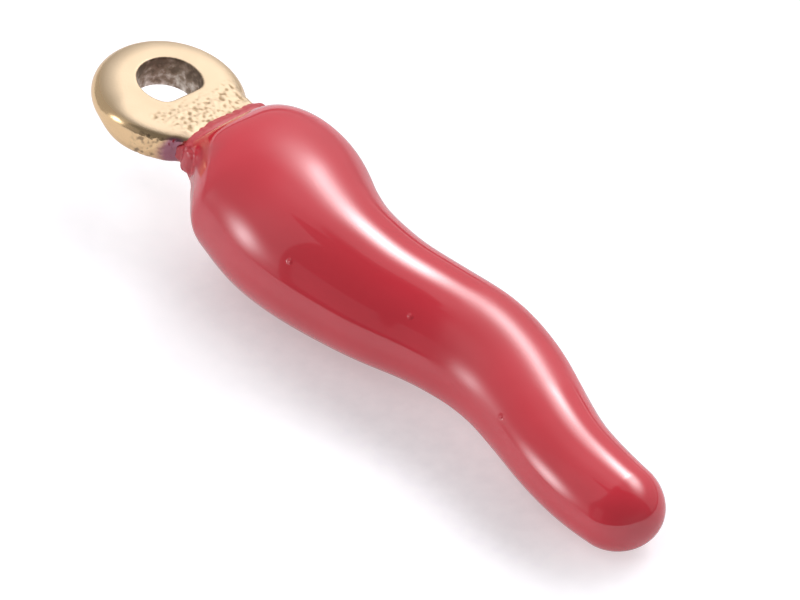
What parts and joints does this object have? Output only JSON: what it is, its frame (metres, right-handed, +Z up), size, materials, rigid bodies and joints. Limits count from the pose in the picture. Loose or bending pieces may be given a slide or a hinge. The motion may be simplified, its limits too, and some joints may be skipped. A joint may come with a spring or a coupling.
{
  "type": "cornicello horn pendant",
  "caption": "Small horn charm lying on its side: an S-curved red enamelled horn with a blunt round tip, a short neck and a flat rounded gold-tone eye for a jump ring.",
  "frame": {"origin": "middle of the underside of the bounding box of the pendant as it rests on a flat surface", "axes": "+X along the pendant from the eye to the tip, +Y towards the outer bend of the horn, +Z up"},
  "size_m": [0.0182, 0.0044, 0.0037],
  "materials": {
    "gold_metal": "polished gold-tone plating over cast metal, matt and pitted on the neck",
    "red_enamel": "glossy deep red enamel with a smooth rounded surface"
  },
  "bodies": {
    "root": {"casting": "gold_metal", "enamel_coat": "red_enamel"}
  },
  "joints": []
}
